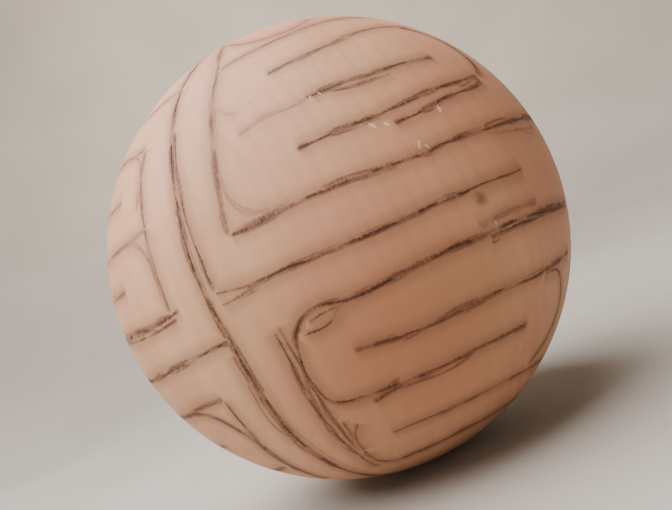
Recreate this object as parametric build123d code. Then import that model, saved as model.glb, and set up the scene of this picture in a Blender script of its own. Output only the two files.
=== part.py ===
"""A wooden maze ball: a hollow two-part ball with a walled core and a steel ball inside.

Millimetres. The origin is the centre of the ball, +Z is the turning axis of the wood, and +X is
square to the seam, out of the half that lifts off. Longitude 0 is the front of the seam, at -Y,
and it grows towards +X. Latitude grows towards +Z.
"""

import os
from math import asin, atan2, cos, degrees, radians, sin, sqrt

from build123d import *

# ---- driving dimensions ----
BALL_RADIUS = 60.0
SHELL_THICKNESS = 7.0
SEAM_GAP = 0.1  # air between the two rims
CORE_RADIUS = 47.0
STEEL_BALL_RADIUS = 2.5
WALL_THICKNESS = 1.5
WALL_CLEARANCE = 0.4  # from the top of a wall to the shell
CORNER_ANGLE = 4.0  # bend radius of a wall strip, in degrees of arc

RING_THICKNESS = 2.4  # the loose tenon ring in the rims
RING_LENGTH = 8.0
RUNNING_FIT = 0.08  # radial clearance of what turns
END_CLEARANCE = 0.15

SPINDLE_RADIUS = 4.0
SPINDLE_SOCKET = 4.4  # depth of the blind socket in each shell
GLUE_LINE = 0.02
SPACER_RADIUS = 5.2
SPACER_SEAT = 0.5  # depth of the flat that a spacer stands on
SPACER_PLAY = 0.35  # from the right spacer to the shell that turns on it

GATE_WIDTH = 8.0
GATES = ((180.0, 20.0), (0.0, -90.0))  # longitude and latitude of the two gates in the seam disc

STEEL_BALL_PLACE = (20.0, -7.0)  # longitude and latitude at rest
ROLLING_GAP = 0.1

# ---- sizes that follow ----
SHELL_INSIDE = BALL_RADIUS - SHELL_THICKNESS
WALL_TOP = SHELL_INSIDE - WALL_CLEARANCE
RING_RADIUS = BALL_RADIUS - SHELL_THICKNESS / 2  # mean radius of the ring
HALF_WALL_ANGLE = degrees(WALL_THICKNESS / 2 / CORE_RADIUS)
GLUE_ANGLE = 0.15  # from the end of a strip to the strip or disc that it butts against
ORIGIN = Vector(0, 0, 0)


# ---- directions from the centre of the ball ----
def direction(lon, lat):
    """The unit vector at a longitude and latitude, in degrees."""
    a, b = radians(lon), radians(lat)
    return Vector(cos(b) * sin(a), -cos(b) * cos(a), sin(b))


def angle_about(pole, start, end):
    """The signed turn about pole that takes start to end, in degrees."""
    flat_start = start - pole * start.dot(pole)
    flat_end = end - pole * end.dot(pole)
    return degrees(atan2(flat_start.cross(flat_end).dot(pole), flat_start.dot(flat_end)))


class Row:
    """A wall line along a parallel: the same latitude all the way."""

    def __init__(self, lat):
        self.lat = lat
        self.pole = Vector(0, 0, 1)
        self.height = sin(radians(lat))

    def at(self, lon):
        return direction(lon, self.lat)


class Upright:
    """A wall line along a meridian: the same longitude all the way."""

    def __init__(self, lon):
        self.lon = lon
        self.pole = direction(lon + 90, 0)
        self.height = 0.0

    def at(self, lat):
        return direction(self.lon, lat)


class Beside:
    """A wall line that keeps the same distance from the seam, at the front or the back."""

    def __init__(self, offset, back=False):
        self.pole = Vector(1, 0, 0)
        self.height = sin(radians(offset))
        self.back = back

    def lon(self, lat):
        front = degrees(asin(self.height / cos(radians(lat))))
        return 180 - front if self.back else front

    def at(self, lat):
        return direction(self.lon(lat), lat)


# ---- wall strips ----
def strip(pole, start, end):
    """A wall of even thickness that stands on the core and follows an arc about pole."""
    turn = angle_about(pole, start, end)
    travel = pole.cross(start).normalized()
    middle = start * ((CORE_RADIUS + WALL_TOP) / 2)
    section = Plane(origin=middle, x_dir=start, z_dir=travel)
    face = section * Rectangle(WALL_TOP - CORE_RADIUS, WALL_THICKNESS)
    axis = Axis(ORIGIN, pole if turn > 0 else pole * -1)
    return revolve(face, axis, abs(turn))


def corner(first, second, before, point, after):
    """The centre of the bend between two wall lines, and where it meets each of them."""
    bend = radians(CORNER_ANGLE)
    heights = []
    for line, other in ((first, after), (second, before)):
        side = 1 if other.dot(line.pole) > line.height else -1
        heights.append(sin(asin(line.height) + side * bend))
    cross = first.pole.cross(second.pole)
    rest = sqrt(1 - heights[0] ** 2 - heights[1] ** 2)
    rest = rest if point.dot(cross) > 0 else -rest
    centre = first.pole * heights[0] + second.pole * heights[1] + cross * rest
    touches = []
    for line in (first, second):
        flat = (centre - line.pole * centre.dot(line.pole)).normalized()
        touches.append(line.pole * line.height + flat * sqrt(1 - line.height**2))
    return centre, touches[0], touches[1]


def crossing(first, second):
    """The direction where a row meets an upright, whichever comes first."""
    return second.at(first.lat) if isinstance(first, Row) else first.at(second.lat)


def wall(start, *lines, end):
    """One bent strip along wall lines, from start on the first line to end on the last."""
    points = [lines[0].at(start)]
    points += [crossing(a, b) for a, b in zip(lines, lines[1:])]
    points.append(lines[-1].at(end))
    solid = None
    here = points[0]
    for i, line in enumerate(lines):
        centre = None
        there = points[-1]
        if i + 1 < len(lines):
            centre, there, next_start = corner(line, lines[i + 1], *points[i : i + 3])
        pieces = [strip(line.pole, here, there)]
        if centre is not None:
            pieces.append(strip(centre, there, next_start))
            here = next_start
        for piece in pieces:
            solid = piece if solid is None else solid + piece
    return solid


def half_maze(side):
    """The walls of one half as name: solid. side is 1 for the right half and -1 for the left."""
    seam_front = Beside(side * 10)
    seam_back = Beside(side * 10, back=True)
    touch_front = Beside(side * (10 + HALF_WALL_ANGLE + GLUE_ANGLE))
    touch_back = Beside(side * (10 + HALF_WALL_ANGLE + GLUE_ANGLE), back=True)
    disc_front = Beside(side * (HALF_WALL_ANGLE + GLUE_ANGLE))
    disc_back = Beside(side * (HALF_WALL_ANGLE + GLUE_ANGLE), back=True)
    outer_front = Upright(side * 86)
    outer_back = Upright(side * 98)
    if side > 0:
        return {
            "right_upper_frame": wall(100, Row(8), seam_front, Row(50), end=164),
            "right_upper_hairpin": wall(29, Row(18), outer_front, Row(39), end=29),
            "right_upper_tongue": wall(touch_front.lon(28), Row(28), end=71),
            "right_centre_tongue": wall(disc_front.lon(-2), Row(-2), end=74),
            "right_lower_frame": wall(95, Row(-12), seam_front, Row(-57), end=150),
            "right_lower_hairpin": wall(23, Row(-22), outer_front, Row(-45), end=22),
            "right_lower_tongue": wall(touch_front.lon(-33), Row(-33), end=67),
            "right_back_upper_frame": wall(112, Row(8), seam_back, end=48),
            "right_back_upper_hairpin": wall(150, Row(18), outer_back, Row(39), end=150),
            "right_back_upper_tongue": wall(112, Row(28), end=touch_back.lon(28)),
            "right_back_centre_tongue": wall(106, Row(-2), end=disc_back.lon(-2)),
            "right_back_lower_frame": wall(107, Row(-12), seam_back, end=-57),
            "right_back_lower_hairpin": wall(155, Row(-22), outer_back, Row(-45), end=155),
            "right_back_lower_tongue": wall(112, Row(-33), end=touch_back.lon(-33)),
        }
    return {
        "left_roof": wall(disc_front.lon(50), Row(50), end=-150),
        "left_upper_frame": wall(-80, Row(39), seam_front, Row(-2), end=-70),
        "left_upper_hairpin": wall(-22, Row(28), outer_front, Row(8), end=-25),
        "left_upper_tongue": wall(touch_front.lon(18), Row(18), end=-66),
        "left_centre_tongue": wall(disc_front.lon(-12), Row(-12), end=-74),
        "left_lower_frame": wall(-80, Row(-22), seam_front, Row(-57), end=-150),
        "left_lower_hook": wall(-30, Row(-33), outer_front, end=-23.5),
        "left_lower_tongue": wall(touch_front.lon(-45), Row(-45), end=-70),
        "left_back_upper_frame": wall(-100, Row(39), seam_back, Row(-2), end=-110),
        "left_back_upper_hairpin": wall(-155, Row(28), outer_back, Row(8), end=-155),
        "left_back_upper_tongue": wall(-112, Row(18), end=touch_back.lon(18)),
        "left_back_centre_tongue": wall(-106, Row(-12), end=disc_back.lon(-12)),
        "left_back_lower_frame": wall(-100, Row(-22), seam_back, end=-56),
        "left_back_lower_hairpin": wall(-155, Row(-33), outer_back, Row(-45), end=-155),
    }


# ---- shells ----
def along_x(radius, start, end):
    """A cylinder on the X axis from x = start to x = end."""
    ground = Plane(origin=(start, 0, 0), x_dir=(0, 1, 0), z_dir=(1, 0, 0))
    return extrude(ground * Circle(radius), end - start)


def tube_along_x(inner, outer, start, end):
    return along_x(outer, start, end) - along_x(inner, start, end)


def half_ball(radius, start):
    """The part of a ball on the +X side of x = start."""
    side = radius - start
    section = Circle(radius) & Pos(start + side / 2, radius / 2) * Rectangle(side, radius)
    return revolve(section, Axis.X)


def half_shell(socket_clearance):
    """The +X half of the hollow ball, with its rim groove and its spindle socket."""
    start = SEAM_GAP / 2
    groove_inner = RING_RADIUS - RING_THICKNESS / 2 - RUNNING_FIT
    groove_outer = RING_RADIUS + RING_THICKNESS / 2 + RUNNING_FIT
    groove_end = RING_LENGTH / 2 + END_CLEARANCE
    socket_end = SHELL_INSIDE + SPINDLE_SOCKET + END_CLEARANCE
    shell = half_ball(BALL_RADIUS, start) - half_ball(SHELL_INSIDE, 0)
    shell -= tube_along_x(groove_inner, groove_outer, start - 1, groove_end)
    return shell - along_x(SPINDLE_RADIUS + socket_clearance, SHELL_INSIDE - 2, socket_end)


def joining_ring():
    inner = RING_RADIUS - RING_THICKNESS / 2
    return tube_along_x(inner, inner + RING_THICKNESS, -RING_LENGTH / 2, RING_LENGTH / 2)


# ---- core ----
def core_half():
    """The +X half of the core ball, bored for the spindle, with a flat for its spacer."""
    half = half_ball(CORE_RADIUS, WALL_THICKNESS / 2)
    half -= along_x(SPINDLE_RADIUS + GLUE_LINE, -1, CORE_RADIUS + 1)
    return half - along_x(SPACER_RADIUS + 0.2, CORE_RADIUS - SPACER_SEAT, CORE_RADIUS + 1)


def seam_disc():
    """The disc between the core halves, with the two gates cut through its rim."""
    disc = tube_along_x(
        SPINDLE_RADIUS + GLUE_LINE, WALL_TOP, -WALL_THICKNESS / 2, WALL_THICKNESS / 2
    )
    for lon, lat in GATES:
        out = direction(lon, lat)
        middle = Plane(origin=out * (CORE_RADIUS + BALL_RADIUS) / 2, x_dir=(1, 0, 0), z_dir=out)
        disc -= middle * Box(2 * WALL_THICKNESS, GATE_WIDTH, BALL_RADIUS - CORE_RADIUS)
    return disc


def spindle():
    reach = SHELL_INSIDE + SPINDLE_SOCKET
    rod = along_x(SPINDLE_RADIUS, -reach, reach)
    return chamfer(rod.edges().filter_by(GeomType.CIRCLE), 0.4)


def spacer(play):
    """The collar that keeps the core clear of the +X shell."""
    start = CORE_RADIUS - SPACER_SEAT
    inside_edge = sqrt(SHELL_INSIDE**2 - SPACER_RADIUS**2)
    return tube_along_x(SPINDLE_RADIUS + GLUE_LINE, SPACER_RADIUS, start, inside_edge - play)


def steel_ball():
    place = direction(*STEEL_BALL_PLACE) * (CORE_RADIUS + STEEL_BALL_RADIUS + ROLLING_GAP)
    return Pos(place) * Sphere(STEEL_BALL_RADIUS)


def left(solid):
    """The same solid on the -X side."""
    return mirror(solid, about=Plane.YZ)


parts = {
    "fixed_half_shell": left(half_shell(GLUE_LINE)),
    "lift_off_half_shell": half_shell(RUNNING_FIT),
    "joining_ring": joining_ring(),
    "core_left_half": left(core_half()),
    "core_right_half": core_half(),
    "seam_disc": seam_disc(),
    "spindle": spindle(),
    "left_spacer": left(spacer(GLUE_LINE)),
    "right_spacer": spacer(SPACER_PLAY),
    "steel_ball": steel_ball(),
    **half_maze(1),
    **half_maze(-1),
}

os.makedirs("parts", exist_ok=True)
for name, solid in parts.items():
    export_step(solid, f"parts/{name}.step")
print(len(parts), "parts")
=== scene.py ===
# %% [markdown]
# # A wooden maze ball
#
# A turned ball, 120 mm across, with a maze pencilled all over its skin. The ball is hollow. Inside
# stand the walls that the pencil plan shows, and a small steel ball runs between them. The frame
# brings each solid in its place. This lesson makes a finished piece for each of them.

# %% Load the frame
from math import asin, cos, degrees, pi, radians, sin, sqrt, tan

import bpy
import numpy as np
from mathutils import Matrix, Vector, kdtree


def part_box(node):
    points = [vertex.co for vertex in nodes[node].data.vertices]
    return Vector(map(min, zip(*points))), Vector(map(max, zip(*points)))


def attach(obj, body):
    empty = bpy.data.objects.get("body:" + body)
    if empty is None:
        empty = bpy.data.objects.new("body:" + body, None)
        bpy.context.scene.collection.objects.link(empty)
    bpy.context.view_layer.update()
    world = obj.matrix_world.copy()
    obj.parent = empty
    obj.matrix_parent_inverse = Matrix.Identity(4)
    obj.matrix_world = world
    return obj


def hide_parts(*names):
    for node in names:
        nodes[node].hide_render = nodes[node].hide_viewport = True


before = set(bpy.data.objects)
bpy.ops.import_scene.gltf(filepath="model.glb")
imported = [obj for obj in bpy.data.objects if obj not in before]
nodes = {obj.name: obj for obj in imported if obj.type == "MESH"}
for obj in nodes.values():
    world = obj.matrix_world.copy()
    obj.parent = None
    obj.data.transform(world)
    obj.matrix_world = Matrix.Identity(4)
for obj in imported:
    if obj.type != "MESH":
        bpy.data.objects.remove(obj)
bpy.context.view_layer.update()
print("CAD nodes:", len(nodes))

# %% [markdown]
# Every size below comes from the frame or from the maker's own few numbers. The ball's radius is
# read from its box. The wall is 7 mm thick. A loose ring joins the halves, so each rim has a
# groove, and the dowel through the middle ends in a socket in each half.

# %% Sizes
MM = 0.001
BALL_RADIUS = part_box("lift_off_half_shell")[1].x
SEAM_HALF_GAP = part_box("lift_off_half_shell")[0].x
SHELL_THICKNESS = 7 * MM
SHELL_INSIDE = BALL_RADIUS - SHELL_THICKNESS
GROOVE_INSIDE, GROOVE_OUTSIDE, GROOVE_DEPTH = 55.22 * MM, 57.78 * MM, 4.15 * MM
SOCKET_RADIUS, SOCKET_END = 4.08 * MM, 57.55 * MM
print("ball radius", round(BALL_RADIUS / MM, 2), "mm")

# %% [markdown]
# The camera looks at the seam from the right, level with the ball, and it leans to one side, so
# that the ball's turning axis tips to the left in the picture. A camera's own axes are the columns
# of its rotation: right, up and back. Up is the turning axis made square to the line of sight, then
# rolled.

# %% Camera
VIEW_AZIMUTH, VIEW_ELEVATION, VIEW_ROLL = radians(28.6), radians(-2.4), radians(23.4)
VIEW_DISTANCE = 3.4 * BALL_RADIUS
PICTURE_WIDTH = 672
BALL_SHARE = 232 / PICTURE_WIDTH  # the ball's radius as a share of the picture's width
SENSOR = 36.0


def aimed_axes(azimuth, elevation, roll):
    """The right, up and back directions of a camera that looks at the origin."""
    back = Vector((sin(azimuth) * cos(elevation), -cos(azimuth) * cos(elevation), sin(elevation)))
    right = Vector((0, 0, 1)).cross(back).normalized()
    up = back.cross(right)
    tilt = Matrix.Rotation(-roll, 3, back)
    return tilt @ right, tilt @ up, back


RIGHT, UP, BACK = aimed_axes(VIEW_AZIMUTH, VIEW_ELEVATION, VIEW_ROLL)
camera_data = bpy.data.cameras.new("camera")
camera = bpy.data.objects.new("camera", camera_data)
bpy.context.scene.collection.objects.link(camera)
turn = Matrix((RIGHT, UP, BACK)).transposed().to_4x4()
camera.matrix_world = Matrix.Translation(BACK * VIEW_DISTANCE) @ turn
camera_data.sensor_width = SENSOR
camera_data.lens = BALL_SHARE * SENSOR / tan(asin(BALL_RADIUS / VIEW_DISTANCE))
camera_data.shift_x, camera_data.shift_y = -3 / PICTURE_WIDTH, -7.5 / PICTURE_WIDTH
camera_data.clip_start = 0.01
bpy.context.scene.camera = camera
print("lens", round(camera_data.lens, 1), "mm")

# %% [markdown]
# The ball lies on a plain pale floor that bends up into a backdrop, a photographer's cove. With no
# corner there is no hard line behind the ball. It starts as a sphere seen from inside. The lower
# half is pressed flat around the ball and rises in a quarter of an ellipse toward the edge.

# %% Floor
FLOOR_Z = -BALL_RADIUS
COVE_RADIUS = 1.4
FLAT_RADIUS = 0.35 * COVE_RADIUS
BEND_HEIGHT = 0.6 * COVE_RADIUS
CLOTH_DARK, CLOTH_LIGHT = (0.34, 0.31, 0.26, 1), (0.44, 0.41, 0.36, 1)


def select_none():
    """Leaves object mode with nothing selected, so that the next operator acts on one thing."""
    if bpy.context.object and bpy.context.object.mode != "OBJECT":
        bpy.ops.object.mode_set(mode="OBJECT")
    bpy.ops.object.select_all(action="DESELECT")


def principled(name, roughness=0.6):
    """A new node material. Returns the material, its node tree and its main shader."""
    material = bpy.data.materials.new(name)
    material.use_nodes = True
    tree = material.node_tree
    shader = tree.nodes["Principled BSDF"]
    shader.inputs["Roughness"].default_value = roughness
    return material, tree, shader


def node(tree, kind, links=None, **settings):
    """Adds one shader node. links maps an input to a socket or a value."""
    made = tree.nodes.new("ShaderNode" + kind)
    for key, value in settings.items():
        setattr(made, key, value)
    for key, value in (links or {}).items():
        if isinstance(value, bpy.types.NodeSocket):
            tree.links.new(value, made.inputs[key])
        else:
            made.inputs[key].default_value = value
    return made


select_none()
bpy.ops.mesh.primitive_uv_sphere_add(segments=96, ring_count=48, radius=COVE_RADIUS)
cove = bpy.context.object
cove.name = "cove"
bpy.ops.object.mode_set(mode="EDIT")
bpy.ops.mesh.select_all(action="SELECT")
bpy.ops.mesh.flip_normals()
bpy.ops.object.mode_set(mode="OBJECT")
for vertex in cove.data.vertices:
    out_from_ball = Vector((vertex.co.x, vertex.co.y)).length
    if vertex.co.z < 0:
        lift = max(0.0, (out_from_ball - FLAT_RADIUS) / (COVE_RADIUS - FLAT_RADIUS))
        vertex.co.z = FLOOR_Z + BEND_HEIGHT * (1 - sqrt(1 - min(1, lift) ** 2))
    else:
        vertex.co.z += FLOOR_Z + BEND_HEIGHT
bpy.ops.object.shade_smooth()
material, tree, shader = principled("pale_cloth", 0.9)
cloth_noise = node(tree, "TexNoise", {"Scale": 7.0, "Detail": 3.0})
tree.links.new(node(tree, "TexCoord").outputs["Object"], cloth_noise.inputs["Vector"])
cloth_tone = node(tree, "ValToRGB", {"Fac": cloth_noise.outputs["Fac"]})
cloth_tone.color_ramp.elements[0].color = CLOTH_DARK
cloth_tone.color_ramp.elements[1].color = CLOTH_LIGHT
tree.links.new(cloth_tone.outputs["Color"], shader.inputs["Base Color"])
cove.data.materials.append(material)
print("cove", len(cove.data.polygons), "faces")

# %% [markdown]
# The main light is one large soft lamp up and to the left, as from a window: its size makes the
# shadow's edge soft. A smaller, warm lamp stands behind the ball and lights only the backdrop. What
# fills the shadows is the light of both that bounces about inside the cove.

# %% Light
def area_lamp(name, place, away, size, power, colour):
    """A square lamp, in metres and watts, that shines opposite to the direction away."""
    lamp_data = bpy.data.lights.new(name, "AREA")
    lamp_data.size = size
    lamp_data.energy = power
    lamp_data.color = colour
    lamp = bpy.data.objects.new(name, lamp_data)
    bpy.context.scene.collection.objects.link(lamp)
    lamp.location = place
    lamp.rotation_euler = away.to_track_quat("Z", "Y").to_euler()


window_place = RIGHT * -0.68 + UP * 0.66 + BACK * 0.14
backdrop_place, backdrop_away = Vector((-0.45, 0.75, 0.75)), Vector((0.2, -1.0, 0.25))
area_lamp("window", window_place, window_place, 1.15, 37.5, (0.98, 0.955, 0.99))
area_lamp("backdrop", backdrop_place, backdrop_away, 0.7, 6.0, (1.0, 0.88, 0.74))
print("lamps", len(bpy.data.lights))

# %% [markdown]
# ## The two half shells
#
# Most operators act on the active object in edit mode, and on all that is selected in it. A few
# helpers make that state sure before each step, and shade a finished piece: smooth over its curves,
# sharp where two faces meet at more than the angle.

# %% Helpers for edit mode
def edit(thing, mode="VERT"):
    """Goes into edit mode on one object with nothing selected in its mesh."""
    select_none()
    thing.select_set(True)
    bpy.context.view_layer.objects.active = thing
    bpy.ops.object.mode_set(mode="EDIT")
    bpy.ops.mesh.select_mode(type=mode)
    bpy.ops.mesh.select_all(action="DESELECT")


def shade(thing, sharp_angle=35):
    """Shades the object smooth, but for edges sharper than the angle."""
    select_none()
    thing.select_set(True)
    bpy.context.view_layer.objects.active = thing
    bpy.ops.object.shade_smooth_by_angle(angle=radians(sharp_angle))
    select_none()


def finish_edit(thing, sharp_angle=35):
    """Leaves edit mode and shades the piece."""
    bpy.ops.object.mode_set(mode="OBJECT")
    shade(thing, sharp_angle)


# %% [markdown]
# Each half is turned on the lathe inside and out. Its inside, its rim groove and its dowel socket
# are one profile, so it is drawn as a chain of points and spun about the seam's axis, as the wood
# turns past the tool.

# %% Spin the inside of a half shell
SPIN_STEPS = 240
INSIDE_STEPS = 60
RIM_MARGIN = 0.15 * MM  # left for the bridge between rim and skin


def add_profile(name, points):
    """A chain of points in the XY plane, drawn as a hand would: one vertex, then extruded."""
    select_none()
    bpy.ops.mesh.primitive_plane_add(size=1)
    profile = bpy.context.object
    profile.name = name
    edit(profile)
    bpy.ops.mesh.select_all(action="SELECT")
    bpy.ops.mesh.merge(type="CENTER")
    bpy.ops.transform.translate(value=(points[0][0], points[0][1], 0))
    for before, after in zip(points, points[1:]):
        step = (after[0] - before[0], after[1] - before[1], 0)
        bpy.ops.mesh.extrude_region_move(TRANSFORM_OT_translate={"value": step})
    return profile


def inside_profile():
    """The inside of a +X half shell from its socket to its rim, as (distance along X, radius)."""
    points = [(SOCKET_END, 0.0), (SOCKET_END, SOCKET_RADIUS)]
    first = asin(SOCKET_RADIUS / SHELL_INSIDE)
    last = pi / 2 - asin(SEAM_HALF_GAP / SHELL_INSIDE)
    for i in range(INSIDE_STEPS + 1):
        angle = first + (last - first) * i / INSIDE_STEPS
        points.append((SHELL_INSIDE * cos(angle), SHELL_INSIDE * sin(angle)))
    for radius, along in (
        (GROOVE_INSIDE, SEAM_HALF_GAP),
        (GROOVE_INSIDE, GROOVE_DEPTH),
        (GROOVE_OUTSIDE, GROOVE_DEPTH),
        (GROOVE_OUTSIDE, SEAM_HALF_GAP),
        (BALL_RADIUS - RIM_MARGIN, SEAM_HALF_GAP),
    ):
        points.append((along, radius))
    return points


def spin_about_x():
    """Spins the profile in edit mode into a turned form about the X axis."""
    bpy.ops.mesh.select_all(action="SELECT")
    bpy.ops.mesh.spin(
        steps=SPIN_STEPS, angle=2 * pi, center=(0, 0, 0), axis=(1, 0, 0), use_auto_merge=True
    )
    bpy.ops.mesh.select_all(action="SELECT")
    bpy.ops.mesh.remove_doubles(threshold=1e-6)


inside = add_profile("inside", inside_profile())
spin_about_x()
bpy.ops.object.mode_set(mode="OBJECT")
print("turned inside", len(inside.data.polygons), "faces")

# %% [markdown]
# The skin outside could be spun too, but it will carry pencil lines a millimetre wide, and spun
# faces crowd at the ends of the axis. An ico sphere has small faces of even size. The bisect
# operator cuts it at the seam, and a bridge joins skin and rim into one closed wall.

# %% Cut the skin and join the two
SKIN_CUTS = 8  # subdivisions: faces about half a millimetre across
select_none()
bpy.ops.mesh.primitive_ico_sphere_add(subdivisions=SKIN_CUTS, radius=BALL_RADIUS)
skin = bpy.context.object
edit(skin)
bpy.ops.mesh.select_all(action="SELECT")
bpy.ops.mesh.bisect(plane_co=(SEAM_HALF_GAP, 0, 0), plane_no=(1, 0, 0), clear_inner=True)
bpy.ops.object.mode_set(mode="OBJECT")
select_none()
inside.select_set(True)
skin.select_set(True)
bpy.context.view_layer.objects.active = skin
bpy.ops.object.join()
edit(skin, "EDGE")
bpy.ops.mesh.select_non_manifold()
bpy.ops.mesh.bridge_edge_loops()
bpy.ops.mesh.select_all(action="SELECT")
bpy.ops.mesh.quads_convert_to_tris()
bpy.ops.mesh.normals_make_consistent(inside=False)
finish_edit(skin)
right_shell = skin
right_shell.name = "lift_off_shell_turned"
print("half shell", len(right_shell.data.polygons), "faces")

# %% [markdown]
# The other half is the same shell seen in a mirror. A copy is scaled by -1 along X in edit mode,
# which turns it inside out, so its faces are flipped back.

# %% Mirror the other half
def mirrored_copy(thing, name):
    """A copy with its own mesh, mirrored along X, and with its faces outward again."""
    copy = thing.copy()
    copy.data = thing.data.copy()
    copy.name = name
    bpy.context.scene.collection.objects.link(copy)
    edit(copy)
    bpy.ops.mesh.select_all(action="SELECT")
    bpy.ops.transform.resize(value=(-1, 1, 1), center_override=(0, 0, 0))
    bpy.ops.mesh.flip_normals()
    finish_edit(copy)
    return copy


left_shell = mirrored_copy(right_shell, "fixed_shell_turned")
print("both halves", left_shell.dimensions / MM)

# %% [markdown]
# ## The pencil plan
#
# The maker drew the maze freehand with a soft pencil: rows along the parallels, uprights beside the
# seam, corners squared first and then rounded. Each stroke is a few points of longitude and
# latitude, in degrees, with a tone from 0 to 1 and a width in millimetres. Longitude 0 is the seam,
# facing front, and it grows to the right. A stroke that goes over another goes in a second layer.

# %% Strokes that the maker pressed
# The tone is partly the pencil's pressure and partly painted light: strokes toward the upper left
# of the view, where the window lamp's highlight falls, have lighter tones, and those on the shaded
# right have darker ones.
MAIN = [  # (tone, width, points)
    # the seam, front and back
    (1.0, 1.3, [
        (-6, -80), (-4, -60), (-2.8, -46), (-2.0, -37), (-0.6, -27), (0.4, -19), (0.7, -10),
        (0.3, 0), (0.1, 22), (-0.2, 45), (-0.5, 88)
    ]),
    (0.92, 1.0, [(180, -88), (179.5, -40), (180.3, 0), (179.7, 40), (180, 88)]),
    # right half, upper panel
    (0.86, 1.15, [(13, 68), (15.3, 52), (14.1, 43), (12.4, 31), (10.9, 19), (10.0, 7.6)]),
    (0.97, 1.2, [(10.2, 7.7), (30, 8.3), (50, 7.9), (70, 8.6), (90, 9), (100, 8.5)]),
    (1.0, 1.2, [
        (28.5, 18.2), (37, 18.3), (45, 18.0), (53, 19.0), (61, 20.0), (69, 20.6), (81, 21.0)
    ]),
    (0.5, 1.1, [(18, 26.4), (25, 27.8), (30, 27.4), (36, 28)]),
    (1.0, 1.2, [(34.5, 27.9), (41.5, 28.5), (52, 28.4), (71.6, 28.7)]),
    (0.92, 1.1, [
        (29, 38.7), (34.5, 39.3), (41, 40.2), (50.5, 41.6), (62, 43.1), (71, 43.4), (84, 42)
    ]),
    (0.95, 1.0, [
        (16, 48.6), (25, 49.8), (33.5, 50.6), (45, 52.2), (63, 53.4), (90, 52), (120, 50),
        (164, 50)
    ]),
    (1.0, 1.4, [(77, 42.8), (84, 39.5), (88, 33), (86.5, 26), (81.5, 20.9)]),
    # right half, between the panels
    (1.0, 1.2, [(9, -2.3), (20, -2.2), (38, -2.4), (58, -1.8)]),
    # right half, lower panel
    (1.0, 1.2, [(22, -12.1), (35, -11.6), (50, -10.9), (64, -11.4), (80, -11.6), (96, -12)]),
    (0.92, 1.1, [(10.4, -12), (10.4, -18), (9.4, -25), (8.7, -33), (8.0, -43), (7.6, -58)]),
    (0.9, 1.15, [(23, -21.6), (34, -22.8), (48, -23), (64, -23.2), (78, -23.6), (92, -22.8)]),
    (0.92, 0.9, [(74, -24.2), (81.5, -25.6), (85.5, -31), (85, -37), (80.5, -41.8), (72, -46)]),
    (0.9, 1.15, [(21.5, -34.4), (28, -33.2), (39, -32.9), (52, -32.9), (67, -33.4)]),
    (0.85, 1.0, [(21.5, -45), (29, -45.1), (36, -45.3), (52, -45.8), (68, -46.8), (90, -48.5)]),
    (0.97, 1.0, [(17.5, -57.8), (35, -57.5), (60, -57.6), (80, -59), (100, -60)]),
    # left half, upper panel
    (0.82, 1.1, [(0, 50), (-10, 49.6), (-20, 49), (-60, 50), (-150, 50)]),
    (0.87, 1.1, [(-11, 37), (-20, 37.6), (-30, 38.4), (-80, 39)]),
    (0.87, 1.1, [(-11.2, 36.5), (-11.6, 28), (-11, 17), (-10.4, 8), (-10.4, -1)]),
    (0.82, 1.1, [(-22, 27), (-35, 27.6), (-80, 28)]),
    (0.82, 1.1, [(-11, 17.6), (-24, 17), (-40, 17), (-66, 18)]),
    (0.82, 1.1, [(-25, 8), (-37, 8.2), (-80, 8)]),
    (1.0, 1.3, [(-7.6, -1), (-20, -1.4), (-38, -1), (-70, -2)]),
    (1.0, 1.2, [(0.5, -10.2), (-18, -11.3), (-36, -12), (-74, -12)]),
    # left half, lower panel
    (0.92, 1.2, [(-10.5, -21), (-22, -21.7), (-36, -23), (-80, -22.5)]),
    (0.92, 1.2, [(-10.5, -21.5), (-12, -30), (-15, -37), (-18, -48), (-21, -58)]),
    (0.87, 1.1, [(-30, -34), (-45, -34.6), (-86, -34)]),
    (0.87, 1.1, [(-20, -45.5), (-35, -47.4), (-70, -46)]),
    (0.87, 1.1, [(-22, -57.5), (-40, -58), (-150, -57)]),
]
print(len(MAIN), "pressed strokes in front")

# %% [markdown]
# The back of the ball has the same kind of plan. Its rows and uprights follow the walls inside, so
# a few short functions write them down.

# %% The back of the plan
def row(lat, start, end, drift=0.5):
    """A pencilled row that drifts by about half a degree, as a hand does."""
    middle = (start + end) / 2
    return (0.9, 1.15, [(start, lat), (middle, lat + drift), (end, lat - drift / 2)])


def upright(lon, start, end):
    """A pencilled upright along a meridian, from one latitude to another."""
    return (0.9, 1.15, [(lon, start), (lon + 0.6, (start + end) / 2), (lon, end)])


def beside_seam(side, start, end):
    """An upright ten degrees from the seam at the back, on the right (1) or the left (-1)."""
    points = []
    for lat in (start, (start + end) / 2, end):
        points.append((side * (180 - degrees(asin(sin(radians(10)) / cos(radians(lat))))), lat))
    return (0.9, 1.15, points)


MAIN += [row(8, 112, 170), beside_seam(1, 8, 49), row(18, 98, 150), row(39, 98, 150)]
MAIN += [upright(98, 18, 39), row(28, 112, 168), row(-2, 106, 179)]
MAIN += [row(-12, 107, 170), beside_seam(1, -12, -57), row(-22, 98, 155), row(-45, 98, 155)]
MAIN += [upright(98, -22, -45), row(-33, 112, 167), row(-58, 100, 150)]
MAIN += [row(39, -100, -167), beside_seam(-1, 39, -2), row(-2, -110, -170)]
MAIN += [row(28, -98, -155), row(8, -98, -155), upright(-98, 28, 8), row(18, -112, -169)]
MAIN += [row(-12, -106, -179), row(-22, -100, -169), beside_seam(-1, -22, -56)]
MAIN += [row(-33, -98, -155), row(-45, -98, -155), upright(-98, -33, -45), upright(-86, 28, 8)]
MAIN += [upright(-86, -34, -23)]
print(len(MAIN), "pressed strokes in all")

# %% [markdown]
# Second thoughts lie on top: rounded corners, doubled lines, a small leaf where a corner was tried
# twice, and one long faint curve near the top. The skin also has a few short scratches, which went
# through the pencil to the pale wood. They are told in the same way.

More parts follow.
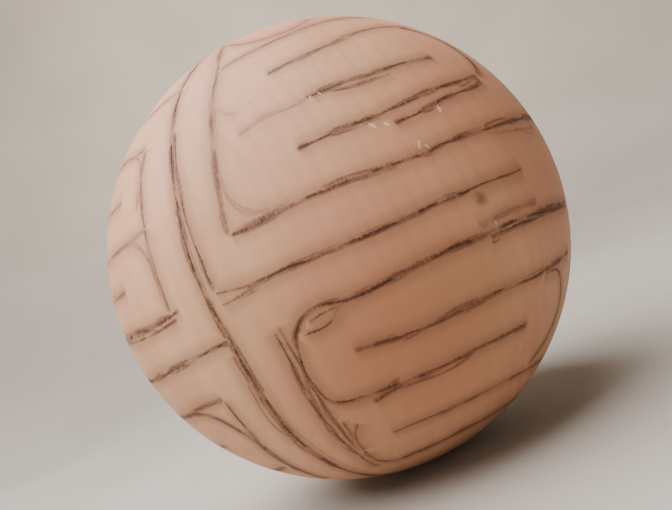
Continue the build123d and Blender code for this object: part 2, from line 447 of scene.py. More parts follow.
# %% Strokes that go over others, and scratches
OVER = [
    (0.97, 0.9, [(0.8, 36), (1.5, 22), (2.1, 8), (2.6, -1.0)]),
    (0.55, 0.9, [(13.2, 31), (11.8, 20), (12.4, 13.5), (16, 10.0), (24, 8.9)]),
    (0.4, 0.8, [(14, 36.2), (15.4, 33.8), (17.2, 32.4), (20, 31)]),
    (0.87, 0.9, [(40.3, 27.2), (47.5, 26.8), (56.3, 26.8)]),
    (1.0, 1.1, [(48.7, 15.7), (58, 16.3), (64.5, 17.2), (75.5, 18.5), (80.5, 20)]),
    (0.95, 0.6, [(2.4, -1.0), (5, -1.3), (9, -2.0), (14, -2.2)]),
    (0.9, 0.6, [(2.8, -3.6), (6, -3.4), (9.5, -2.8), (14, -2.5)]),
    (1.0, 0.75, [(56, -1.9), (64, -1.9), (74.5, -1.6)]),
    (0.6, 0.9, [(68, 7.6), (74.5, 6.6), (85.6, 6.3), (92, 6.8)]),
    (1.0, 0.9, [
        (27, -12), (21.3, -11.1), (17, -11.9), (13.9, -14.7), (13, -17.5), (11.7, -22.7),
        (12.4, -29), (15.3, -31.5), (20.7, -32.3), (30, -32.2)
    ]),
    (0.97, 1.1, [(58, -11.9), (68, -12.1), (80, -12.2), (95, -12.6)]),
    (0.97, 0.7, [(25, -12.1), (23.4, -13.1), (22.2, -14.2), (19.4, -15.1), (15.4, -15.0)]),
    (0.87, 0.8, [(17.5, -13.1), (21, -12.4), (24.5, -12.2)]),
    (0.6, 1.6, [(56, -9.4), (62, -8.9), (69, -8.6), (76, -9.2)]),
    (0.88, 0.9, [(11.7, -11.3), (11.7, -17), (11.4, -26), (10.7, -36), (9.8, -48)]),
    (0.87, 0.8, [(-0.5, -13), (-1, -21.7), (-1.9, -30), (-3.4, -39)]),
    (0.92, 0.8, [
        (15.2, -38), (12.1, -41.5), (10.9, -45.6), (10.5, -50), (11, -54.5), (14, -57),
        (18, -57.8), (35, -57.2)
    ]),
    (0.77, 0.8, [(12.3, -36), (11.5, -42.4), (11.3, -48)]),
    (0.92, 0.7, [(14.6, 65.5), (24, 58.5), (33.4, 54.6), (45, 54.5), (54, 57.5), (60, 61.8)]),
    (0.72, 0.9, [(20, -56.8), (32, -57.8), (46, -56.4), (60, -58.6)]),
    (0.82, 0.9, [(37, 39.0), (44, 40.4), (55, 41.6)]),
    (0.72, 0.9, [(-20, 38.2), (-14, 34.5), (-12.6, 29), (-13.6, 22)]),
    (0.72, 0.9, [(-22, 17.2), (-15, 15), (-11.4, 10), (-11, 2)]),
    (0.97, 0.9, [(-9, -2.2), (-24, -2.8), (-38, -2.4)]),
    (0.97, 1.1, [(-32, -22.3), (-22, -23.2), (-16.5, -27), (-14.3, -33), (-15.3, -40), (-19, -53)]),
    (0.55, 0.8, [(178.2, 30), (178, 5), (178.6, -20)]),
    (0.72, 0.9, [(163, 13), (166, 9.6), (171, 20)]),
    (0.72, 0.9, [(-160, -24), (-166, -26), (-169, -34)]),
    (0.72, 0.9, [(103, 38), (99.5, 34), (99.6, 26), (104, 19.4)]),
    (0.72, 0.9, [(-104, 27), (-99.5, 23), (-99.6, 14), (-104, 9)]),
]
SCRATCHES = [
    (0.9, 0.5, [(60.5, 16.6), (59.8, 14.2)]),
    (0.9, 0.5, [(44, 17.8), (45.2, 15.5)]),
    (0.9, 0.5, [(46.6, 16.8), (48, 15)]),
    (0.9, 0.5, [(51.6, 11), (50.8, 8.4)]),
    (0.8, 0.5, [(52.4, 9.6), (53.4, 8)]),
    (0.7, 0.5, [(37.5, 28.6), (39, 27)]),
    (0.7, 0.5, [(60, -9), (61, -10.8)]),
]
print(len(OVER), "strokes on top,", len(SCRATCHES), "scratches")

# %% [markdown]
# The lines could be a painted image, but then they would be only as fine as its dots. Here the
# shader draws them. For that it has to know at each point how far along the stroke it is and how
# far to the side. Both are worked out here, in millimetres, and kept on the corners of the faces,
# so a line can be finer than a face, and its pressure and its ends can change along the way.

# %% Follow a stroke over the ball
STEP = 0.4  # degrees between two places along a stroke
SEED_STEP = 7.31  # keeps the noise of one stroke unlike the next
FAR_OFF = 50.0  # mm to the side, for corners without pencil
SKIN_DEPTH = 0.3 * MM


def on_ball(lon, lat):
    """The direction of a place on the ball from its longitude and latitude."""
    a, b = radians(lon), radians(lat)
    return Vector((cos(b) * sin(a), -cos(b) * cos(a), sin(b)))


def smooth_path(points):
    """A Catmull-Rom curve through a stroke's points, as unit vectors an even step apart."""
    chain = [Vector((*p, 0)) for p in points]
    chain = [2 * chain[0] - chain[1], *chain, 2 * chain[-1] - chain[-2]]
    path = []
    for p0, p1, p2, p3 in zip(chain, chain[1:], chain[2:], chain[3:]):
        count = max(2, int((p2 - p1).length / STEP))
        for i in range(count):
            t = i / count
            place = 0.5 * (
                2 * p1 + (p2 - p0) * t + (2 * p0 - 5 * p1 + 4 * p2 - p3) * t**2
                + (3 * p1 - p0 - 3 * p2 + p3) * t**3
            )
            path.append(on_ball(place.x, place.y))
    path.append(on_ball(*points[-1]))
    return path


def lay_strokes(mesh, layer, strokes):
    """Writes each face corner's place on the nearest stroke, and that stroke's hand."""
    spots, hands = [], []
    for seed, (tone, width, points) in enumerate(strokes):
        path = smooth_path(points)
        walked = [0.0]
        for a, b in zip(path, path[1:]):
            walked.append(walked[-1] + (b - a).length * BALL_RADIUS / MM)
        for i, place in enumerate(path):
            ahead = (path[min(i + 1, len(path) - 1)] - path[max(i - 1, 0)]).normalized()
            spots.append((place, ahead, place.cross(ahead), walked[i], walked[-1]))
            hands.append((tone, width, seed * SEED_STEP))
    tree = kdtree.KDTree(len(spots))
    for i, spot in enumerate(spots):
        tree.insert(spot[0] * BALL_RADIUS, i)
    tree.balance()
    places = mesh.attributes.new(layer + "_place", "FLOAT_VECTOR", "CORNER")
    hand = mesh.attributes.new(layer + "_hand", "FLOAT_VECTOR", "CORNER")
    corner_places = np.full((len(mesh.loops), 3), FAR_OFF, np.float32)
    corner_hands = np.zeros((len(mesh.loops), 3), np.float32)
    skin_limit = (BALL_RADIUS - SKIN_DEPTH) ** 2
    for face in mesh.polygons:
        if face.center.length_squared < skin_limit:
            continue
        _, i, _ = tree.find(face.center)
        place, ahead, aside, walked, total = spots[i]
        for corner in face.loop_indices:
            offset = mesh.vertices[mesh.loops[corner].vertex_index].co / MM
            offset = offset - place * (BALL_RADIUS / MM)
            along = walked + offset.dot(ahead)
            corner_places[corner] = (offset.dot(aside), along, total - along)
            corner_hands[corner] = hands[i]
    places.data.foreach_set("vector", corner_places.ravel())
    hand.data.foreach_set("vector", corner_hands.ravel())
    return len(spots)


for shell in (left_shell, right_shell):
    count = lay_strokes(shell.data, "pressed", MAIN) + lay_strokes(shell.data, "over", OVER)
    count += lay_strokes(shell.data, "scratched", SCRATCHES)
    print(shell.name, "follows", count, "places along the strokes")

# %% [markdown]
# ## Bare wood
#
# The wood is pale and close-grained, like maple or beech. Its fibre runs from pole to pole, so
# every pattern is stretched along Z. Four things make it: soft blotches, the faint bands of the
# year rings, thin streaks and fine dark flecks. The same recipe, with other colours, serves the
# core, the ring and the dowel. Small helpers come first, because each adds one kind of node.

# %% Helpers for shader nodes
def scaled(tree, socket, scale, turn=(0, 0, 0), shift=(0, 0, 0)):
    """The object's own coordinates, stretched or turned."""
    mapping = node(tree, "Mapping", {"Vector": socket, "Scale": scale, "Rotation": turn})
    mapping.inputs["Location"].default_value = shift
    return mapping.outputs["Vector"]


def maths(tree, operation, a, b=0.0, clamp=False):
    """One sum. Each of a and b is a socket or a number."""
    return node(tree, "Math", {0: a, 1: b}, operation=operation, use_clamp=clamp).outputs[0]


def remap(tree, value, low, high, new_low=0.0, new_high=1.0, kind="SMOOTHSTEP"):
    """Turns low to high into new_low to new_high, and holds the ends."""
    links = {"Value": value, "From Min": low, "From Max": high}
    links.update({"To Min": new_low, "To Max": new_high})
    return node(tree, "MapRange", links, interpolation_type=kind).outputs["Result"]


def noise(tree, vector, scale, detail=2.0, roughness=0.5):
    """Soft noise from 0 to 1 at a place."""
    links = {"Vector": vector, "Scale": scale, "Detail": detail, "Roughness": roughness}
    return node(tree, "TexNoise", links).outputs["Fac"]


def noise_along(tree, distance, scale, detail=1.0):
    """Noise in one dimension, for what changes along a stroke."""
    links = {"W": distance, "Scale": scale, "Detail": detail}
    return node(tree, "TexNoise", links, noise_dimensions="1D").outputs["Fac"]


def blend_colours(tree, factor, first, second, kind="MIX"):
    """The first colour at factor 0, and the second, or their product, at factor 1."""
    mix = node(tree, "Mix", {0: factor, 6: first, 7: second}, data_type="RGBA", blend_type=kind)
    return mix.outputs[2]


# %% [markdown]
# In the recipe each of the four is a number that grows where the wood is darker, and their sum
# blends from a pale colour to a deep one. A year ring is the distance from the middle of the tree,
# bent by noise and started again every few millimetres. The middle of the tree lies outside the
# ball, so the rings cross it as nearly straight bands.

# %% A recipe for wood
RING_GAP = 4.1 * MM  # between two year rings
RING_BEND = 14 * MM  # how far they stray
RING_DEPTH, BLOTCH_DEPTH, STREAK_DEPTH, FLECK_DEPTH = 0.10, 0.55, 0.09, 0.16
PITH = (0.11, 0.16, 0)  # metres from the tree's middle to the ball's, across the fibre


def wood(tree, pale, deep):
    """Colour, and a height for the bump, of a wood whose fibre runs along Z."""
    place = node(tree, "TexCoord").outputs["Object"]
    blotch = noise(tree, scaled(tree, place, (1, 1, 0.45)), 26, 3)
    bend = noise(tree, scaled(tree, place, (1, 1, 0.25)), 30, 3)
    from_pith = scaled(tree, place, (1, 1, 0), shift=PITH)
    far = node(tree, "VectorMath", {0: from_pith}, operation="LENGTH").outputs["Value"]
    far = maths(tree, "ADD", far, maths(tree, "MULTIPLY", bend, RING_BEND))
    ring = maths(tree, "FRACT", maths(tree, "DIVIDE", far, RING_GAP))
    ring = remap(tree, ring, 0.35, 1.0)
    streak = noise(tree, scaled(tree, place, (1, 1, 0.035)), 900, 3, 0.6)
    fleck = noise(tree, scaled(tree, place, (1, 1, 0.10)), 1500, 1)
    fleck = remap(tree, fleck, 0.66, 0.80)
    dark = maths(tree, "MULTIPLY", ring, RING_DEPTH)
    dark = maths(tree, "ADD", dark, remap(tree, blotch, 0.3, 0.75, 0.0, BLOTCH_DEPTH))
    dark = maths(tree, "ADD", dark, remap(tree, streak, 0.35, 0.75, 0.0, STREAK_DEPTH))
    dark = maths(tree, "ADD", dark, maths(tree, "MULTIPLY", fleck, FLECK_DEPTH), clamp=True)
    colour = blend_colours(tree, dark, (*pale, 1), (*deep, 1))
    height = maths(tree, "SUBTRACT", streak, maths(tree, "MULTIPLY", fleck, 0.8))
    return colour, height, place


# %% [markdown]
# Graphite sits on the high fibres and skips the low ones. Seen close, a soft pencil's line is a
# grey body made of strands that run along it, with a darker core where the point pressed, here and
# there a second pass beside it, and a faint smear where the hand rubbed. The ends fade. One
# function builds a node group that draws all this, and it is called for each of the two layers of
# strokes and for the scratches.

# %% A pencil line as a node group
LINE_HALF = 0.78  # half of the body's width, as a share of the width in the table
CORE_HALF, SECOND_HALF = 0.46, 0.45  # as shares of the body's half width
BODY_INK, CORE_INK, SECOND_INK, SMEAR_INK = 0.86, 0.98, 0.75, 0.34
WANDER, CORE_LEAN, SECOND_REACH, FRAY = 0.8, 1.1, 4.6, 0.5  # mm from side to side
SMEAR_NEAR, SMEAR_FAR = 0.4, 3.8  # mm from the middle of the line


def pencil_group(layer):
    """A node group that gives the ink of one layer, from 0 to 1. Lengths in it are in mm."""
    tree = bpy.data.node_groups.new("pencil_" + layer, "ShaderNodeTree")
    tree.interface.new_socket("Grain", in_out="INPUT", socket_type="NodeSocketFloat")
    tree.interface.new_socket("Ink", in_out="OUTPUT", socket_type="NodeSocketFloat")
    grain = tree.nodes.new("NodeGroupInput").outputs["Grain"]

    def add(a, b):
        return maths(tree, "ADD", a, b)

    def less(a, b):
        return maths(tree, "SUBTRACT", a, b)

    def times(a, b):
        return maths(tree, "MULTIPLY", a, b)

    def parts(name):
        held = node(tree, "Attribute", attribute_name=layer + name).outputs["Vector"]
        return list(node(tree, "SeparateXYZ", {0: held}).outputs)

    across, along, remaining = parts("_place")
    tone, width, seed = parts("_hand")
    walk = add(along, times(seed, 10.0))

    def drift(shift, scale, detail=2):
        """Noise along the stroke. Another shift gives another run of it."""
        return noise_along(tree, add(walk, shift), scale, detail)

    def sway(shift, scale, reach, detail=2):
        """A drift to both sides of zero."""
        return times(less(drift(shift, scale, detail), 0.5), reach)

    def line(off, half, soft_in, soft_out, strength):
        """Full within half a width of the middle, and nothing outside it."""
        return remap(tree, less(off, half), -soft_in, soft_out, strength, 0.0)

    # where the line's middle lies, and how wide it is
    aside = add(less(across, sway(0, 0.05, WANDER)), times(less(grain, 0.5), FRAY))
    off = maths(tree, "ABSOLUTE", aside)
    half = times(times(width, LINE_HALF), remap(tree, drift(500, 0.10), 0.3, 0.7, 0.8, 1.25))
    # the body: pressed more or less, broken by the grain, in strands
    pressure = remap(tree, drift(0, 0.12), 0.3, 0.6, 0.72, 1.0)
    skip = remap(tree, grain, 0.44, 0.70, 1.0, 0.7)
    lanes = node(tree, "CombineXYZ", {0: times(walk, 0.055), 1: times(aside, 1.6)})
    strand = noise(tree, lanes.outputs["Vector"], 1.0, 2, 0.6)
    strand = remap(tree, strand, 0.34, 0.58, 0.55, 1.0)
    body = line(off, half, 0.6, 0.5, BODY_INK)
    body = times(times(times(body, pressure), skip), strand)
    # the core, which leans to one side and lets go here and there
    core_off = maths(tree, "ABSOLUTE", less(aside, sway(300, 0.07, CORE_LEAN)))
    bite = remap(tree, drift(700, 0.11), 0.32, 0.55, 0.45, 1.0)
    dust = remap(tree, grain, 0.46, 0.72, 1.0, 0.7)
    core = line(core_off, times(half, CORE_HALF), 0.26, 0.22, 1.0)
    core = times(times(core, bite), times(dust, CORE_INK))
    # the second pass, in some places only
    second_off = maths(tree, "ABSOLUTE", less(aside, sway(900, 0.045, SECOND_REACH, 1)))
    where = remap(tree, drift(1300, 0.05, 1), 0.42, 0.56)
    second = line(second_off, times(half, SECOND_HALF), 0.22, 0.2, SECOND_INK)
    second = times(times(second, where), skip)
    smear = times(remap(tree, off, SMEAR_NEAR, SMEAR_FAR, 1.0, 0.0), SMEAR_INK)
    # the strongest of the four, by the stroke's tone, fading at both ends
    ink = maths(tree, "MAXIMUM", maths(tree, "MAXIMUM", body, core), second)
    ink = maths(tree, "MAXIMUM", ink, smear)
    ends = times(remap(tree, along, -0.5, 0.9), remap(tree, remaining, -0.5, 1.6))
    ink = maths(tree, "MULTIPLY", times(ink, tone), ends, clamp=True)
    tree.links.new(ink, tree.nodes.new("NodeGroupOutput").inputs["Ink"])
    return tree


# %% [markdown]
# The shells wear bare wood with three more things in it. First, patches of warmer, darker heartwood
# lie on the right; they are also painted shade, low on the front and on the right limb, where the
# ball turns from the lamp. Second, a slow change runs between a pinkish and a yellowish cast.
# Third, there is one small knot. Bare wood has little gloss, so the shader's specular level is low.

# %% The shells' wood
BARE_ROUGHNESS, INKED_ROUGHNESS = 0.54, 0.74
# Heartwood patches, which are also painted shade on the side of the ball turned from the lamp.
HEARTWOOD_AND_SHADE_PATCHES = (  # middle, full within mm, gone beyond mm, strength
    (on_ball(35, -25), 6, 44, 0.76),
    (on_ball(92, 0), 10, 50, 0.58),
)
HEARTWOOD_AND_SHADE_COLOUR, KNOT_COLOUR = (0.40, 0.165, 0.08, 1), (0.17, 0.06, 0.025, 1)
PINK_CAST, YELLOW_CAST = (1.0, 0.955, 0.955, 1), (0.965, 1.0, 0.955, 1)

shell_wood, tree, shader = principled("pencilled_bare_wood", BARE_ROUGHNESS)
shader.inputs["Specular IOR Level"].default_value = 0.28
wood_colour, wood_height, place = wood(tree, (0.66, 0.365, 0.22), (0.43, 0.19, 0.095))


def distance_to(centre):
    """How far each point is from a place on the skin, in metres."""
    links = {0: place, 1: centre * BALL_RADIUS}
    return node(tree, "VectorMath", links, operation="DISTANCE").outputs["Value"]


# The patches darken the wood: partly heartwood colour, partly painted shade on the lower front and
# the right limb.
heartwood_and_shade = 0.0
for centre, near, far, strength in HEARTWOOD_AND_SHADE_PATCHES:
    heartwood_and_shade_patch = remap(tree, distance_to(centre), near * MM, far * MM, strength, 0.0)
    heartwood_and_shade = maths(tree, "MAXIMUM", heartwood_and_shade_patch, heartwood_and_shade)
wood_colour = blend_colours(tree, heartwood_and_shade, wood_colour, HEARTWOOD_AND_SHADE_COLOUR)
cast = noise(tree, scaled(tree, place, (1, 1, 0.7), shift=(3, 0, 0)), 42, 2)
cast = blend_colours(tree, remap(tree, cast, 0.36, 0.64), PINK_CAST, YELLOW_CAST)
wood_colour = blend_colours(tree, 1.0, wood_colour, cast, "MULTIPLY")
uneven = maths(tree, "MULTIPLY", noise(tree, place, 900, 2), 1.6 * MM)
knot = maths(tree, "ADD", distance_to(on_ball(59, -4.3)), uneven)
knot = remap(tree, knot, 1.2 * MM, 3.2 * MM, 0.75, 0.0)
wood_colour = blend_colours(tree, knot, wood_colour, KNOT_COLOUR)
print("shell wood has", len(tree.nodes), "nodes")

# %% [markdown]
# The pencil goes over the wood by multiplication, as graphite darkens what is under it. A scratch
# takes the pencil off and shows paler wood. Graphite also roughens the skin a little here, so that
# the lines stay dark where the lamp shines on them.

# %% Pencil and scratches over the wood
SCRATCH_COLOUR, GRAPHITE = (0.80, 0.60, 0.46, 1), (0.125, 0.085, 0.082, 1)
grain = noise(tree, scaled(tree, place, (1, 1, 0.8)), 2000, 3, 0.65)
inks = []
for layer in ("pressed", "over", "scratched"):
    group = tree.nodes.new("ShaderNodeGroup")
    group.node_tree = pencil_group(layer)
    tree.links.new(grain, group.inputs["Grain"])
    inks.append(group.outputs["Ink"])
scratch = remap(tree, inks.pop(), 0.2, 0.5, 0.0, 0.6)
ink = maths(tree, "MAXIMUM", *inks)
ink = maths(tree, "MULTIPLY", ink, maths(tree, "SUBTRACT", 1.0, scratch), clamp=True)
wood_colour = blend_colours(tree, scratch, wood_colour, SCRATCH_COLOUR)
colour = blend_colours(tree, ink, wood_colour, GRAPHITE, "MULTIPLY")
tree.links.new(colour, shader.inputs["Base Color"])
roughness = remap(tree, ink, 0.0, 0.8, BARE_ROUGHNESS, INKED_ROUGHNESS)
tree.links.new(roughness, shader.inputs["Roughness"])
bump = node(tree, "Bump", {"Height": wood_height, "Distance": 0.02 * MM, "Strength": 0.4})
tree.links.new(bump.outputs["Normal"], shader.inputs["Normal"])
print("pencil layers", len(bpy.data.node_groups))

# %% [markdown]
# A finished piece needs its material, the body it moves with, and the name of the solid that it
# stands for, which is then hidden. One short function says all of it. The left shell is fixed. The
# right one lifts off.

# %% Dress the shells
def dress(thing, material, cad_node, body):
    """Gives a finished piece its material and its body, and hides the solid that it stands for."""
    thing.data.materials.clear()
    thing.data.materials.append(material)
    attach(thing, body)
    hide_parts(cad_node)


dress(left_shell, shell_wood, "fixed_half_shell", "fixed_half")
dress(right_shell, shell_wood, "lift_off_half_shell", "lift_off_half")
print("both shells wear", shell_wood.name)

# %% [markdown]
# ## The walls
#
# Each wall is a thin hardwood strip glued on edge to the core, and bent where it turns. It could be
# drawn again along its row, but the frame already holds every strip in its place. What it lacks is
# what sandpaper leaves, an edge that is a little round and catches the light. So each strip is a
# copy of its solid: loose triangles merged, flat runs dissolved, sharp edges bevelled. The solid
# itself is left alone.

# %% Soften the edges of a solid's copy
EDGE_ROUND = 0.22 * MM


def softened_copy(node_name, name, width=EDGE_ROUND):
    """A copy of a solid with merged faces and rounded edges. Returns the new object."""
    copy = nodes[node_name].copy()
    copy.data = nodes[node_name].data.copy()
    for key in list(copy.keys()):
        del copy[key]
    copy.parent = None
    copy.name = name
    bpy.context.scene.collection.objects.link(copy)
    edit(copy)
    bpy.ops.mesh.select_all(action="SELECT")
    bpy.ops.mesh.remove_doubles(threshold=2e-6)
    bpy.ops.mesh.dissolve_limited(angle_limit=radians(0.5))
    bpy.ops.object.mode_set(mode="OBJECT")
    soften = copy.modifiers.new("soften", "BEVEL")
    soften.width = width
    soften.segments = 2
    soften.limit_method = "ANGLE"
    soften.angle_limit = radians(35)
    soften.use_clamp_overlap = False
    bpy.ops.object.modifier_apply(modifier="soften")
    shade(copy, 50)
    return copy


WALL_KINDS = ("frame", "hairpin", "tongue", "hook", "roof")
strips = []
for node_name in sorted(nodes):
    if node_name.endswith(WALL_KINDS):
        strip = softened_copy(node_name, node_name + "_strip")
        strips.append((strip, node_name))
print(len(strips), "wall strips")

# %% [markdown]
# A bent strip is split along its fibre, so its grain keeps the same distance from the ball's
# centre all the way along. That distance drives the streaks here, and a broad noise makes one strip
# a little darker than the next. Oil leaves a soft sheen.

# %% Oiled strips
def oiled_strip():
    """Dark oiled hardwood whose fibre follows the bend of the strip."""
    material, tree, shader = principled("oiled_strip", 0.42)
    place = node(tree, "TexCoord").outputs["Object"]
    height_up = node(tree, "VectorMath", {0: place}, operation="LENGTH").outputs["Value"]
    along = scaled(tree, place, (55, 55, 55))
    links = {"Vector": along, "W": maths(tree, "MULTIPLY", height_up, 2600), "Scale": 1.0}
    links.update({"Detail": 3.0, "Roughness": 0.6})
    fibre = node(tree, "TexNoise", links, noise_dimensions="4D").outputs["Fac"]
    blotch = noise(tree, place, 21, 2)
    pores = noise(tree, place, 1900, 2, 0.7)
    dark = remap(tree, fibre, 0.3, 0.7, 0.0, 0.6)
    dark = maths(tree, "ADD", dark, remap(tree, blotch, 0.35, 0.65, 0.0, 0.35))
    dark = maths(tree, "ADD", dark, remap(tree, pores, 0.58, 0.75, 0.0, 0.35), clamp=True)
    colour = blend_colours(tree, dark, (0.30, 0.155, 0.075, 1), (0.12, 0.055, 0.028, 1))
    tree.links.new(colour, shader.inputs["Base Color"])
    tree.links.new(remap(tree, pores, 0.4, 0.75, 0.36, 0.55), shader.inputs["Roughness"])
    bump = node(tree, "Bump", {"Height": fibre, "Distance": 0.03 * MM, "Strength": 0.5})
    tree.links.new(bump.outputs["Normal"], shader.inputs["Normal"])
    return material


strip_wood = oiled_strip()
for strip, node_name in strips:
    dress(strip, strip_wood, node_name, "fixed_half")
print(len(strips), "strips wear", strip_wood.name)

# %% [markdown]
# A thin disc stands between the halves of the core, and its rim is the wall under the seam line. It
# is sawn from the same wood, so it gets the same rounded edges, only finer, and the same oil.

# %% Seam disc
DISC_ROUND = 0.15 * MM
seam_disc = softened_copy("seam_disc", "sawn_seam_disc", DISC_ROUND)
dress(seam_disc, strip_wood, "seam_disc", "fixed_half")
print("seam disc", len(seam_disc.data.polygons), "faces")

# %% [markdown]
# ## The core
#
# The core is a smaller turned ball in two halves, threaded on a dowel. A lathe makes all of these,
# so each is a profile spun about the X axis, with small chamfers where a tool breaks the edge. One
# function closes the profile, spins it and shades it.

# %% Turned pieces
CORE_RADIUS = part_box("core_right_half")[1].z
CORE_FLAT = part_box("core_right_half")[0].x
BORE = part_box("spindle")[1].z + 0.02 * MM


def turned(name, points):
    """Spins a closed profile of (distance along X, radius) points into one solid."""
    thing = add_profile(name, points)
    spin_about_x()
    bpy.ops.mesh.dissolve_degenerate(threshold=1e-6)
    bpy.ops.mesh.select_all(action="SELECT")
    bpy.ops.mesh.normals_make_consistent(inside=False)
    finish_edit(thing)
    return thing


def arc(radius, first, last, count):
    """Points on a circle about the origin, by angle from the X axis in degrees."""
    points = []
    for i in range(count + 1):
        angle = radians(first + (last - first) * i / count)
        points.append((radius * cos(angle), radius * sin(angle)))
    return points


SEAT_RADIUS, SEAT_ALONG = 5.4 * MM, CORE_RADIUS - 0.5 * MM
RIM_BREAK, BORE_BREAK = 0.2 * MM, 0.3 * MM
CORE_STEPS = 56
rim = degrees(asin((CORE_FLAT + RIM_BREAK) / CORE_RADIUS))
seat_edge = degrees(asin((SEAT_RADIUS + RIM_BREAK) / CORE_RADIUS))
core_profile = [(SEAT_ALONG, SEAT_RADIUS), *arc(CORE_RADIUS, seat_edge, 90 - rim, CORE_STEPS)]
core_profile += [(CORE_FLAT, CORE_RADIUS - RIM_BREAK), (CORE_FLAT, BORE + BORE_BREAK)]
core_profile += [(CORE_FLAT + BORE_BREAK, BORE), (SEAT_ALONG, BORE), (SEAT_ALONG, SEAT_RADIUS)]
core_right = turned("core_right_turned", core_profile)
core_left = mirrored_copy(core_right, "core_left_turned")
print("core half", len(core_right.data.polygons), "faces")

# %% [markdown]
# The dowel through the middle has a small centre hole in each end, where the lathe held it. The two
# collars on it keep the core clear of the shells.

# %% Dowel and collars
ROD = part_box("spindle")[1].z
ROD_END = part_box("spindle")[1].x
CENTRE_HOLE_DEPTH, CENTRE_HOLE_RADIUS, ROD_CHAMFER = 0.9 * MM, 0.8 * MM, 0.4 * MM
half_rod = [(ROD_END - CENTRE_HOLE_DEPTH, 0.0), (ROD_END, CENTRE_HOLE_RADIUS)]
half_rod += [(ROD_END, ROD - ROD_CHAMFER), (ROD_END - ROD_CHAMFER, ROD)]
rod_profile = half_rod + [(0.02, ROD), (0.0, ROD), (-0.02, ROD)]
rod_profile += [(-x, r) for x, r in reversed(half_rod)]
rod = turned("centre_dowel", rod_profile)


def collar(node_name, name):
    """A collar on the dowel, with broken edges, from the solid's own length and radius."""
    low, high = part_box(node_name)
    outer, soft = high.z, 0.25 * MM
    near, far = min(abs(low.x), abs(high.x)), max(abs(low.x), abs(high.x))
    profile = [(near, BORE), (near, outer - soft), (near + soft, outer), (far - soft, outer)]
    profile += [(far, outer - soft), (far, BORE + soft), (far - soft, BORE), (near, BORE)]
    if low.x < 0:
        profile = [(-x, r) for x, r in profile]
    return turned(name, profile)


left_collar = collar("left_spacer", "left_collar")
right_collar = collar("right_spacer", "right_collar")
print("dowel", len(rod.data.polygons), "faces")

# %% [markdown]
# The ring that joins the halves is loose. It turns in the groove of the fixed half and slides out
# of the groove of the other. Its edges have a long chamfer so that it finds its way back in.

# %% Joining ring
ring_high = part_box("joining_ring")[1]
RUNNING_FIT, RING_CHAMFER = 0.08 * MM, 0.5 * MM
inner, outer = GROOVE_INSIDE + RUNNING_FIT, ring_high.z
end, flat_end = ring_high.x, ring_high.x - RING_CHAMFER
print("ring", round(inner / MM, 2), "to", round(outer / MM, 2), "mm")
ring_profile = [
    (-flat_end, inner), (flat_end, inner), (end, inner + RING_CHAMFER / 2),
    (end, outer - RING_CHAMFER / 2), (flat_end, outer), (-flat_end, outer),
    (-end, outer - RING_CHAMFER / 2), (-end, inner + RING_CHAMFER / 2), (-flat_end, inner),
]
ring = turned("joining_ring_turned", ring_profile)
print("ring", len(ring.data.polygons), "faces")

# %% [markdown]
# The steel ball is a cube, subdivided and then pulled out to a sphere, because its even squares
# have no pinched poles to spoil a reflection. To Sphere keeps the mean distance of the cube's
# points, which is more than the ball's radius, so the sphere is measured and brought to size.

# %% Steel ball
low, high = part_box("steel_ball")
steel_place, steel_radius = (low + high) / 2, (high.z - low.z) / 2
select_none()
bpy.ops.mesh.primitive_cube_add(size=2 * steel_radius)
bearing = bpy.context.object
bearing.name = "bearing_ball"
edit(bearing)
bpy.ops.mesh.select_all(action="SELECT")
bpy.ops.mesh.subdivide(number_cuts=19)
bpy.ops.transform.tosphere(value=1)
bpy.ops.object.mode_set(mode="OBJECT")
shrink = steel_radius / bearing.data.vertices[0].co.length
edit(bearing)
bpy.ops.mesh.select_all(action="SELECT")
bpy.ops.transform.resize(value=(shrink, shrink, shrink))
bpy.ops.transform.translate(value=steel_place)
finish_edit(bearing)
print("bearing ball", len(bearing.data.polygons), "faces", bearing.dimensions / MM, "mm")

# %% [markdown]
# Core, ring and dowel are wood of three tones, and only the ring is waxed. They keep the fine rings
# that the lathe tool leaves around the X axis. Noise in one dimension, along X, draws these rings,
# so they need no detail in the mesh.

# %% Finishes of the turned pieces
TOOL_MARK = 0.02 * MM


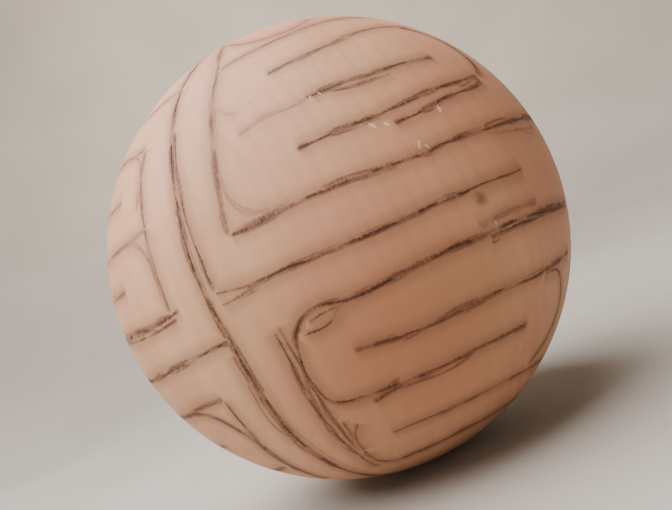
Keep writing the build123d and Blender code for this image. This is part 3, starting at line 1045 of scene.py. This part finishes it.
def turned_wood(name, pale, deep, roughness):
    """Wood with the fine rings of the lathe tool around the X axis."""
    material, tree, shader = principled(name, roughness)
    colour, height, place = wood(tree, pale, deep)
    x = node(tree, "SeparateXYZ", {0: place}).outputs[0]
    marks = noise_along(tree, x, 1600, 2)
    dark = remap(tree, marks, 0.35, 0.7, 0.0, 0.22)
    colour = blend_colours(tree, dark, colour, (*deep, 1))
    tree.links.new(colour, shader.inputs["Base Color"])
    rough = remap(tree, height, 0.2, 0.8, roughness - 0.05, roughness + 0.06)
    tree.links.new(rough, shader.inputs["Roughness"])
    both = maths(tree, "ADD", marks, maths(tree, "MULTIPLY", height, 0.5))
    bump = node(tree, "Bump", {"Height": both, "Distance": TOOL_MARK, "Strength": 0.6})
    tree.links.new(bump.outputs["Normal"], shader.inputs["Normal"])
    return material


core_finish = turned_wood("turned_core_wood", (0.60, 0.37, 0.20), (0.40, 0.22, 0.10), 0.5)
ring_finish = turned_wood("waxed_ring_wood", (0.72, 0.52, 0.31), (0.52, 0.33, 0.17), 0.38)
dowel_finish = turned_wood("dowel_wood", (0.64, 0.43, 0.25), (0.45, 0.27, 0.14), 0.5)
for thing, cad_node, finish, slot in (
    (core_right, "core_right_half", core_finish, "core_wood"),
    (core_left, "core_left_half", core_finish, "core_wood"),
    (rod, "spindle", dowel_finish, "dowel_wood"),
    (left_collar, "left_spacer", dowel_finish, "dowel_wood"),
    (right_collar, "right_spacer", dowel_finish, "dowel_wood"),
):
    dress(thing, finish, cad_node, "fixed_half")
dress(ring, ring_finish, "joining_ring", "ring")

# %% [markdown]
# The steel is polished, so its colour comes from what it mirrors. A little noise in its colour and
# its roughness gives the dull spots and hair scratches of a ball that has rolled a long way.

# %% Polished steel
STEEL_BRIGHT, STEEL_DULL = (0.60, 0.60, 0.62, 1), (0.50, 0.50, 0.53, 1)
steel, tree, shader = principled("polished_steel", 0.16)
shader.inputs["Metallic"].default_value = 1.0
place = node(tree, "TexCoord").outputs["Object"]
hair = noise(tree, scaled(tree, place, (1, 6, 0.4), turn=(0.6, 0.3, 0.8)), 2500, 2, 0.7)
dull = noise(tree, place, 500, 2)
steel_colour = blend_colours(tree, remap(tree, dull, 0.3, 0.7), STEEL_BRIGHT, STEEL_DULL)
tree.links.new(steel_colour, shader.inputs["Base Color"])
tree.links.new(remap(tree, hair, 0.45, 0.75, 0.12, 0.30), shader.inputs["Roughness"])
dress(bearing, steel, "steel_ball", "rolling_ball")
print("materials", len(bpy.data.materials))
